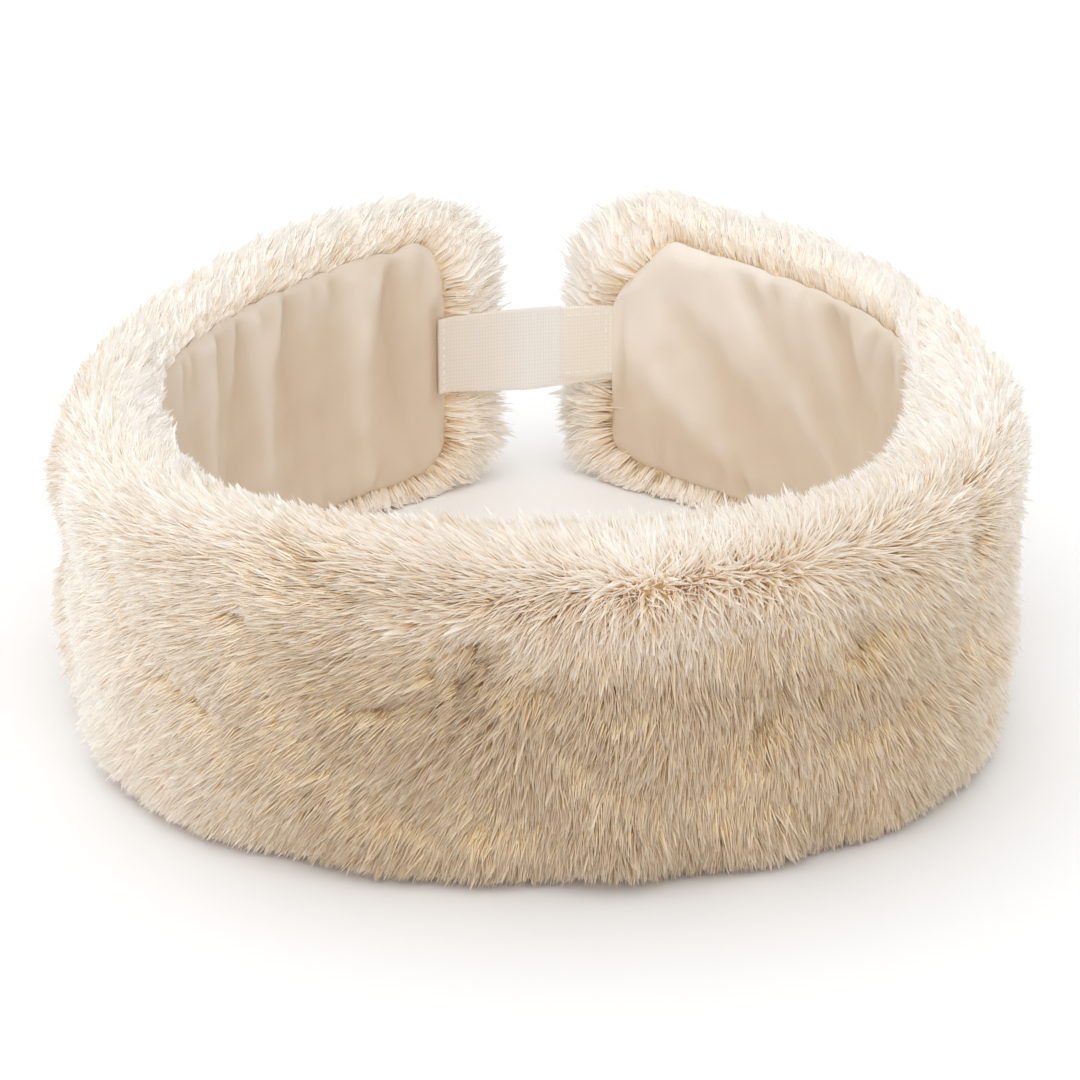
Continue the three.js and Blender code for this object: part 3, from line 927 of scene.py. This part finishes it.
# The satin's colours from painted shade in a fold's valley to a painted highlight on its ridge.
SATIN_SHADE_TO_HIGHLIGHT = [(-1, (0.65, 0.52, 0.385)), (0, (0.725, 0.605, 0.475)), (1, (0.89, 0.81, 0.72))]

# Pleats that start at a pucker in the top edge: (from the end, depth, width at the edge, reach down, how far
# they lean along the band for each millimetre down), in millimetres.
PLEATS = {
    "left": [
        (7, 0.5, 1.6, 14, 0), (15, 1.1, 1.8, 26, 0.12), (35, 0.7, 1.4, 10, 0), (41, 0.5, 1.3, 8, 0),
        (51, 1.0, 1.3, 22, 0.1), (61, 0.6, 1.4, 9, 0), (70, 1.1, 1.2, 26, 0), (80, 0.9, 1.3, 18, -0.1),
        (92, 0.8, 1.3, 12, 0), (97, 0.8, 1.2, 12, 0),
    ],
    "right": [
        (30, 0.4, 1.6, 9, 0), (49, 0.8, 1.6, 10, 0.3), (60, 0.5, 1.3, 7, 0), (69.5, 0.6, 1.4, 10, 0.2),
        (76, 0.5, 1.2, 8, 0), (90, 0.7, 1.5, 12, -0.3), (97, 0.5, 1.2, 9, 0), (108, 1.0, 1.4, 16, -0.2),
        (113, 0.9, 1.3, 12, 0),
    ],
}
PLEAT_HEIGHT = 1.4  # of a pleat's groove and ridge, for its depth
PLEAT_PULL = 0.85  # how far a pleat draws the edge in, for its depth
# The other puckers, at even distances along the stretch of each edge that starts this far from both ends.
PUCKER_PITCH = 9.0
PUCKERS_START = {"top": 118, "foot": 12}
PUCKER = {"depth": 0.75, "width": 1.3, "reach": 13}
# Broad folds: (from the end, height, length, width, turn from along the band towards its top, rise).
SOFT_FOLDS = {
    "left": [
        (4, 38, 60, 7, 88, 0.5), (16, 44, 50, 6, 84, -0.9), (27, 36, 70, 9, 90, 0.8),
        (39, 40, 60, 7, 95, -0.3), (50, 38, 60, 8, 88, -0.7), (62, 36, 60, 9, 90, 0.8),
        (74, 40, 60, 7, 95, -0.6), (86, 36, 60, 9, 90, 0.7),
    ],
    "right": [
        (12, 57, 26, 9, 40, 0.7), (28, 44, 60, 9, 140, -0.8), (26, 26, 60, 10, 145, 0.8),
        (46, 56, 36, 9, 125, -0.9), (58, 40, 70, 9, 140, 0.9), (76, 54, 40, 9, 120, -1.0),
        (84, 36, 60, 10, 130, 0.7), (100, 46, 46, 7, 105, -0.6), (36, 12, 40, 7, 170, -0.5),
    ],
}
FOLD_HEIGHT = 1.7  # of a fold, for its rise
WRINKLES = {"count": 16, "shortest": 7, "longest": 22, "height": 0.22, "seed": 8}


def all_pleats():
    """Every pleat as (along, is at the top edge, depth, width, reach, lean), in millimetres."""
    chances = np.random.default_rng(3)
    length = LENGTH / MM
    rows = []
    for from_end, depth, width, reach, lean in PLEATS["left"]:
        rows.append((from_end, True, depth, width, reach, lean))
    for from_end, depth, width, reach, lean in PLEATS["right"]:
        rows.append((length - from_end, True, depth, width, reach, -lean))
    for edge, start in PUCKERS_START.items():
        for along in np.arange(start, length - start, PUCKER_PITCH):
            jitter, size = chances.uniform(-2.5, 2.5), chances.uniform(0.5, 1.1)
            lean = chances.uniform(-0.3, 0.3)
            rows.append((along + jitter, edge == "top", PUCKER["depth"] * size, PUCKER["width"],
                         PUCKER["reach"] * size, lean))
    return rows


def lining_relief(along, height, foot, top):
    """How far the satin stands off towards the head, and how far its edge is drawn in, in millimetres."""
    along_mm, height_mm, length_mm = along / MM, height / MM, LENGTH / MM
    relief = crossing_waves(along, height, WRINKLES) / MM
    drawn = np.zeros_like(along)
    for centre, is_top, depth, width, reach, lean in all_pleats():
        down = (top / MM - height_mm) if is_top else (height_mm - foot / MM)
        off = (along_mm - centre - lean * down) / (width * (1 + down / 12))
        groove = np.exp(-off ** 2)
        ridge = 0.6 * np.exp(-((off - 1.5) / 1.2) ** 2)
        relief += PLEAT_HEIGHT * depth * np.exp(-(down / reach) ** 2) * (ridge - groove)
        pull = np.exp(-((along_mm - centre) / (1.4 * width)) ** 2) * np.exp(-down / 5)
        drawn += PLEAT_PULL * depth * pull * (1 if is_top else -1)
    for side, folds in SOFT_FOLDS.items():
        end_mm = along_mm if side == "left" else length_mm - along_mm
        for from_end, level, length, width, turn, rise in folds:
            place = in_oval(end_mm - from_end, height_mm - level, math.radians(turn), length, width)
            relief += FOLD_HEIGHT * rise * hump(*place)
    return relief, drawn


def lining_grid():
    """Distances along the band and heights over the lining, with the foot and top edge at each."""
    ends = np.linspace(0, 1, LINING_TIP_STATIONS + 1)[:-1] ** 2 * LINING_TIP
    fine = np.arange(LINING_TIP, LINING_END, LINING_END_STEP)
    count = round((LENGTH - 2 * fine[-1]) / LINING_STEP)
    middle = np.linspace(fine[-1], LENGTH - fine[-1], count + 1)[1:-1]
    along = np.concatenate([ends, fine, middle, LENGTH - fine[::-1], LENGTH - ends[::-1]])
    # The rows lie closer together towards both edges.
    shares = 0.5 - 0.5 * np.cos(math.pi * np.linspace(0.06, 0.94, LINING_ROWS))
    shares = (shares - shares[0]) / (shares[-1] - shares[0])
    foot, top = (np.repeat(edge[:, None], LINING_ROWS, axis=1) for edge in lining_cut(along))
    along = np.repeat(along[:, None], LINING_ROWS, axis=1)
    return along, foot + (top - foot) * shares, foot, top


def satin_painted_light(along, height, top, relief):
    """Painted light on the satin: painted shade in a fold's valley at -1 to a painted highlight on its ridge
    at 1.
    It is painted paler under its top edge and at its right end, where the light falls on it."""
    satin_light = relief / 2.4 - 0.3
    satin_light += 0.7 * smooth_mm(34, 2, top - height)
    satin_light += 0.95 * smooth_mm(75, 20, LENGTH - along) * smooth_mm(10, 45, height)
    return np.clip(satin_light, -1, 1)


def lining_mesh():
    """The strip as a closed sheet with a rolled edge: its points, its faces, and the painted shade and
    highlights on its folds.
    """
    along, height, foot, top = lining_grid()
    relief, drawn = lining_relief(along, height, foot, top)
    from_end = np.minimum(along, LENGTH - along)
    to_edge = np.minimum(np.minimum(top - height, height - foot), from_end) / MM
    soft_edge = smooth(0, LINING_SOFT_EDGE, to_edge)
    by_strap = smooth_mm(7, 3, from_end) * between_mm(26, 48, 5, height)
    relief = np.clip(LINING_SWELL + relief, -0.4, 4) * soft_edge * (1 - 0.9 * by_strap)
    rolled = HEM_ROLL * np.exp(-((to_edge - 1.6) / 1.2) ** 2) - HEM_DROP * np.exp(-to_edge / 0.35)
    face = LINING_LIES - (relief + rolled * (1 - by_strap)) * MM
    back = np.clip(face + LINING_SHEET, None, BACKING_INNER - 0.1 * MM)
    back = np.maximum(back, face + 0.2 * MM) - 0.07 * MM * np.exp(-to_edge / 0.3)
    height_drawn = height - drawn * MM
    points, faces = close_sheet(on_band(along, face, height_drawn), on_band(along, back, height_drawn))
    # Painted shade in the folds' valleys and painted highlights on their ridges, under the top edge and at
    # the right end.
    satin_light = satin_painted_light(along, height_drawn, top, relief - LINING_SWELL * soft_edge).ravel()
    return points, faces, np.concatenate([satin_light, satin_light])


def close_sheet(face, back):
    """Points and faces of a closed sheet from the grids of its two sides."""
    columns, rows = face.shape[:2]
    grid = np.arange(columns * rows).reshape(columns, rows)
    front = np.stack([grid[:-1, :-1], grid[:-1, 1:], grid[1:, 1:], grid[1:, :-1]], axis=-1).reshape(-1, 4)
    rim = np.concatenate([grid[:, 0], grid[-1, 1:], grid[-2::-1, -1], grid[0, -2:0:-1]])
    behind = grid.size
    walls = np.stack([rim, np.roll(rim, -1), np.roll(rim, -1) + behind, rim + behind], axis=-1)
    faces = np.concatenate([front, front[:, ::-1] + behind, walls])
    return np.concatenate([face.reshape(-1, 3), back.reshape(-1, 3)]), faces.tolist()


def make_satin():
    """Smooth cream satin with a faint weave, with painted shade in its folds' valleys and painted highlights
    on their ridges.
    """
    material, tree, shader = new_material("satin", Roughness=0.3)
    satin_light = put(tree, "ShaderNodeAttribute", attribute_name="satin_light").outputs["Fac"]
    share = maths(tree, "MULTIPLY_ADD", satin_light, 0.5, 0.5)
    colour = ramp(tree, share, [((level + 1) / 2, tone) for level, tone in SATIN_SHADE_TO_HIGHLIGHT])
    place = put(tree, "ShaderNodeTexCoord").outputs["Object"]
    grain = put(tree, "ShaderNodeTexNoise", {"Vector": place, "Scale": 1500, "Detail": 3})
    finish_cloth(tree, shader, colour, grain.outputs["Fac"], 0.2 * MM, 0.25)
    return material


lining_points, lining_faces, lining_painted_light = lining_mesh()
lining = make_piece("satin_lining", lining_points, lining_faces, make_satin())
# The satin's painted shade and highlights.
give(lining.data, "satin_light", lining_painted_light)
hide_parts("lining")
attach(lining, "root")


# ---- Elastic strap -----------------------------------------------------------------------------------
# Sheer white woven elastic between the two ends. Its left end is folded and sewn on the face of the lining.
# Its right end is folded back on itself, box-stitched, and passes under the lining.

STRAP_SHEET = 0.7 * MM
STRAP_ON_LINING = 2.5 * MM
STRAP_UNDER_LINING = 6.5 * MM
STRAP_FACE_GAP = 0.35 * MM  # between the lining's face and the strap on it
STRAP_BEHIND = 2.1 * MM  # outwards, under the lining's right end
STRAP_CORNER = 1.2 * MM  # past the lining's right end, where the strap turns in under it
# The strap's width in millimetres along its free stretch, at shares of that length.
STRAP_WIDTHS = [(0, 19.5), (0.15, 20.2), (0.3, 21), (0.5, 21.6), (0.68, 21), (0.85, 20), (1, 19.5)]
STRAP_SLACK = 0.25 * MM  # height of its small waves
FOLD_ROUND = 0.15 * MM  # how far the fold at its left end stands up
FLAP_FROM = 0.69  # share of the free stretch where the folded-back end starts
FLAP = {"thickness": 0.75, "foot": -8.3, "sag": 0.9}  # in millimetres
STRAP_STEP = 0.55 * MM
STRAP_ROWS = 34
STRAP_ROUNDINGS = 4  # times that its line's turns are rounded off
CORD_PITCH = 0.98646 * MM  # between the cords along the strap
THREAD_PITCH = 0.71025 * MM  # and between the threads across it
# Its tones from left to right, over the pile at both ends and over nothing between them.
TONES_FROM = -24.5 * MM
TONES_TO = 18.5 * MM
STRAP_TONES = [
    (0, (0.84, 0.76, 0.67)), (0.3, (0.88, 0.83, 0.77)), (0.5, (0.92, 0.91, 0.90)),
    (0.66, (0.92, 0.91, 0.89)), (0.72, (0.93, 0.87, 0.79)), (1, (0.94, 0.88, 0.79)),
]


def strap_route():
    """The strap's line in even steps: how far along it each point lies, the points, the way that its face
    looks there, and how far along its turns lie."""
    def place(along, outwards):
        return on_band(np.array([along]), np.array([outwards]), np.array([0.0]))[0, :2]

    lies = LINING_LIES - STRAP_FACE_GAP - STRAP_SHEET / 2 - 0.2 * MM
    turns = np.array([
        place(STRAP_ON_LINING, lies),
        place(0, lies),
        place(LENGTH + STRAP_CORNER, STRAP_BEHIND),
        place(LENGTH - STRAP_UNDER_LINING, STRAP_BEHIND),
    ])
    walked = walk(turns)
    even = np.linspace(0, walked[-1], round(walked[-1] / STRAP_STEP) + 1)
    rounded = read_line(even, walked, turns)
    for _ in range(STRAP_ROUNDINGS):
        rounded[1:-1] = (rounded[:-2] + 2 * rounded[1:-1] + rounded[2:]) / 4
    tangent = unit(np.gradient(rounded, even, axis=0))
    return even, rounded, np.stack([tangent[:, 1], -tangent[:, 0]], axis=1), walked


strap_along, strap_xy, strap_looks, strap_turns = strap_route()
free_start, free_end = strap_turns[1:3]
flap_start = free_start + FLAP_FROM * (free_end - free_start)


def on_strap(along, up, off):
    """Points on the strap, off its middle plane towards the head."""
    xy = read_line(along, strap_along, strap_xy)
    xy = xy + read_line(along, strap_along, strap_looks) * np.asarray(off)[..., None]
    return np.concatenate([xy, (STRAP_LEVEL + up)[..., None]], axis=-1)


def strap_share(along):
    """How far along its free stretch a place on the strap is."""
    return np.clip((along - free_start) / (free_end - free_start), 0, 1)


def strap_slack(along, up):
    """The small waves of the unstretched elastic."""
    waves = np.sin(along / (4.3 * MM)) * np.cos(up / (5 * MM)) + 0.5 * np.sin(along / (1.9 * MM) + 2)
    return STRAP_SLACK * np.sqrt(np.sin(math.pi * strap_share(along))) * waves


def flap_rise(along, up):
    """How far the folded-back end stands off the strap's face."""
    flap_share = np.clip((along - flap_start) / (free_end - flap_start), 0, 1)
    foot = (FLAP["foot"] - FLAP["sag"] * np.sin(math.pi * flap_share)) * MM
    starts = smooth_mm(-0.3, 0.3, along - flap_start)
    ends = smooth_mm(2.5, 0.5, along - free_end)
    return FLAP["thickness"] * MM * starts * smooth_mm(0, 0.7, up - foot) * ends


def strap_mesh():
    """The strap as a closed sheet, thinner at its edges, with its rows closer together there."""
    along = np.repeat(strap_along[:, None], STRAP_ROWS, axis=1)
    half = strap_widths[:, None] / 2
    steepest = math.pi / 2 * 0.94
    up = half * np.sin(np.linspace(-1, 1, STRAP_ROWS) * steepest) / math.sin(steepest)
    slack = strap_slack(along, up)
    folded = FOLD_ROUND * np.exp(-((along - 0.7 * MM) / (0.6 * MM)) ** 2)
    thin = 1 - 0.55 * np.exp(-(half - np.abs(up)) / (0.35 * MM))
    face = slack + STRAP_SHEET / 2 * thin + flap_rise(along, up) + folded
    back = slack - STRAP_SHEET / 2 * thin
    return close_sheet(on_strap(along, up, back), on_strap(along, up, face))


def make_elastic():
    """Fine cords along the strap, crossed by finer threads, on tones that are warmer over the pile."""
    material, tree, shader = new_material("woven_elastic", Roughness=0.7)
    place = put(tree, "ShaderNodeTexCoord").outputs["Object"]

    def bands(pitch, axis, distortion):
        # At scale 1 a wave texture's bands lie a twentieth of a full turn apart, in radians.
        wave = {"Vector": place, "Scale": 2 * math.pi / (20 * pitch), "Distortion": distortion}
        return put(tree, "ShaderNodeTexWave", wave, bands_direction=axis).outputs["Fac"]

    right = put(tree, "ShaderNodeSeparateXYZ", {"Vector": place}).outputs["X"]
    across = put(tree, "ShaderNodeMapRange", {"Value": right, "From Min": TONES_FROM, "From Max": TONES_TO})
    tone = ramp(tree, across.outputs["Result"], STRAP_TONES)
    weave = maths(tree, "MULTIPLY", bands(CORD_PITCH, "Z", 0.8), bands(THREAD_PITCH, "X", 1.4))
    shade = ramp(tree, weave, [(0, (0.95, 0.935, 0.92)), (0.5, (1, 1, 1))])
    mix = put(tree, "ShaderNodeMix", {0: 1.0, 6: tone, 7: shade}, data_type="RGBA", blend_type="MULTIPLY")
    finish_cloth(tree, shader, mix.outputs[2], weave, 0.2 * MM, 0.25)
    return material


strap_widths = np.interp(strap_share(strap_along), *zip(*STRAP_WIDTHS)) * MM
strap_points, strap_faces = strap_mesh()
strap = make_piece("woven_strap", strap_points, strap_faces, make_elastic())
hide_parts("elastic_strap")
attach(strap, "root")


# ---- Stitches ----------------------------------------------------------------------------------------
# White thread that holds the strap: a box of stitches round three sides of the folded-back end, and a row
# down the end that is sewn on the face of the lining.

STITCH_PITCH = 2.1 * MM
STITCH_LENGTH = 1.6 * MM
STITCH_WANDER = 0.06  # how far each stitch leans off its seam
STITCH_RINGS = 7
STITCH_SIDES = 6
THREAD = 0.28 * MM
SEAM_POINTS = 24
BOX_FROM = 0.04  # past the flap's edge, as a share of the strap's free length
BOX_MARGIN = 1.6 * MM  # from the lining's right end
SEWN_ALONG = 1.5 * MM  # the other row, from the strap's left end
# The seams: where each one starts and how far above the strap's middle, and the same for where it ends, in
# millimetres.
SEAMS = [
    ("box start", 8.3, "box end", 8.1),
    ("box end", 8.1, "box end", -8.2),
    ("box end", -6.9, "box start", -6.9),
    ("left end", 8.6, "left end", -8.6),
]


def seam(first, first_up, last, last_up):
    """Points of a seam on the strap's face."""
    shares = np.linspace(0, 1, SEAM_POINTS)
    along = first + (last - first) * shares
    up = first_up + (last_up - first_up) * shares
    return on_strap(along, up, strap_slack(along, up) + flap_rise(along, up) + STRAP_SHEET / 2 + 0.02 * MM)


def make_stitch():
    """One stitch a metre long and wide, sunk into the cloth at both ends."""
    points = []
    for share in np.linspace(0, 1, STITCH_RINGS):
        size = 0.5 * math.sin(math.pi * (0.12 + 0.76 * share))
        lift = 0.6 * math.sin(math.pi * share) - 0.35
        for turn in np.linspace(0, 2 * math.pi, STITCH_SIDES + 1)[:-1]:
            points.append((share - 0.5, size * math.cos(turn), lift + size * math.sin(turn)))
    return make_piece("stitch", points, loop_faces(STITCH_RINGS, STITCH_SIDES))


def make_seam_tree():
    """Sets stitches along the edges of a mesh, each flat on the cloth that its looks attribute faces."""
    tree, given = new_tree("seam", {
        "Seams": "Geometry",
        "Stitch": "Object",
        "Finish": "Material",
        "Pitch": "Float",
        "Length": "Float",
        "Thread": "Float",
        "Seed": "Int",
    }, "Stitches")
    curves = put(tree, "GeometryNodeMeshToCurve", {"Mesh": given["Seams"]}).outputs[0]
    steps = {"Curve": curves, "Length": given["Pitch"]}
    even = put(tree, "GeometryNodeResampleCurve", steps, mode="LENGTH").outputs[0]
    tangent = put(tree, "GeometryNodeInputTangent").outputs[0]
    named = put(tree, "GeometryNodeInputNamedAttribute", {"Name": "looks"}, data_type="FLOAT_VECTOR")
    limits = {0: (-STITCH_WANDER,) * 3, 1: (STITCH_WANDER,) * 3, "Seed": given["Seed"]}
    stray = put(tree, "FunctionNodeRandomValue", limits, data_type="FLOAT_VECTOR").outputs[0]
    aim = put(tree, "ShaderNodeVectorMath", {0: tangent, 1: stray}, operation="ADD").outputs[0]
    axes = {"Primary Axis": aim, "Secondary Axis": named.outputs[0]}
    turned = put(tree, "FunctionNodeAxesToRotation", axes, primary_axis="X", secondary_axis="Z").outputs[0]
    sizes = {0: given["Length"], 1: given["Thread"], 2: given["Thread"]}
    scale = put(tree, "ShaderNodeCombineXYZ", sizes).outputs[0]
    finish_tree(tree, set_copies(tree, given["Stitch"], even, turned, scale), given["Finish"])
    return tree


places = {
    "box start": flap_start + BOX_FROM * (free_end - free_start),
    "box end": free_end - BOX_MARGIN,
    "left end": SEWN_ALONG,
}
seams = [seam(places[start], up * MM, places[end], end_up * MM) for start, up, end, end_up in SEAMS]
starts = [row * SEAM_POINTS for row in range(len(seams))]
edges = [(start + i, start + i + 1) for start in starts for i in range(SEAM_POINTS - 1)]
seam_mesh = bpy.data.meshes.new("seams")
seam_mesh.from_pydata(np.concatenate(seams).tolist(), edges, [])
seam_looks = (*strap_looks[len(strap_looks) // 2], 0)
give(seam_mesh, "looks", [seam_looks] * (SEAM_POINTS * len(seams)), "FLOAT_VECTOR")
seam_lines = place_mesh("seams", seam_mesh)
stitch = make_stitch()
thread, _, _ = new_material("white_thread", Roughness=0.5, Base_Color=(0.97, 0.96, 0.94, 1))
stitches = grow(make_seam_tree(), seam_lines, "strap_stitches", {
    "Stitch": stitch,
    "Finish": thread,
    "Pitch": STITCH_PITCH,
    "Length": STITCH_LENGTH,
    "Thread": THREAD,
    "Seed": 2,
})
bpy.data.objects.remove(stitch)
bpy.data.objects.remove(seam_lines)
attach(stitches, "root")


# ---- Surface and light -------------------------------------------------------------------------------
# A plain white table top that runs on into a white background, in soft light from all round, as in a tent
# with lamps behind it.

FLOOR_SIZE = 6.0
ROOM_LIGHT = 1.0  # at the level of the table
ROOM_LIGHT_SLOPE = (-0.18, -0.2, 0.42)  # how much it changes to the right, to the back and upwards
ROOM_SIDES = -0.5  # how much it changes towards both sides
LIGHT_BOUNCES = 28


def make_floor():
    """The table top, matt and very slightly blue, which evens out the pile's warm light on it."""
    half = FLOOR_SIZE / 2
    corners = [(-half, -half, 0), (half, -half, 0), (half, half, 0), (-half, half, 0)]
    material, _, _ = new_material("white_table", Roughness=0.9, Base_Color=(0.955, 0.963, 0.973, 1))
    return make_piece("floor", corners, [(0, 1, 2, 3)], material)


def make_room():
    """White light from all round, strongest from above, and from in front rather than behind."""
    room = bpy.data.worlds.new("white room")
    room.use_nodes = True
    room.cycles.sampling_method = "NONE"
    tree = room.node_tree
    towards = put(tree, "ShaderNodeTexCoord").outputs["Generated"]
    tilt = {0: towards, 1: ROOM_LIGHT_SLOPE}
    slope = put(tree, "ShaderNodeVectorMath", tilt, operation="DOT_PRODUCT").outputs["Value"]
    right = put(tree, "ShaderNodeSeparateXYZ", {"Vector": towards}).outputs["X"]
    level = maths(tree, "MULTIPLY_ADD", maths(tree, "MULTIPLY", right, right), ROOM_SIDES, ROOM_LIGHT)
    strength = maths(tree, "ADD", slope, level)
    tree.links.new(strength, tree.nodes["Background"].inputs["Strength"])
    tree.nodes["Background"].inputs["Color"].default_value = (1, 1, 1, 1)
    return room


make_floor()
scene = bpy.context.scene
scene.world = make_room()
scene.view_settings.view_transform = "Standard"
# Light goes from fibre to fibre many times in pale fur, which is what makes its depths warm.
scene.cycles.max_bounces = LIGHT_BOUNCES
scene.cycles.diffuse_bounces = LIGHT_BOUNCES
scene.cycles.debug_use_spatial_splits = True
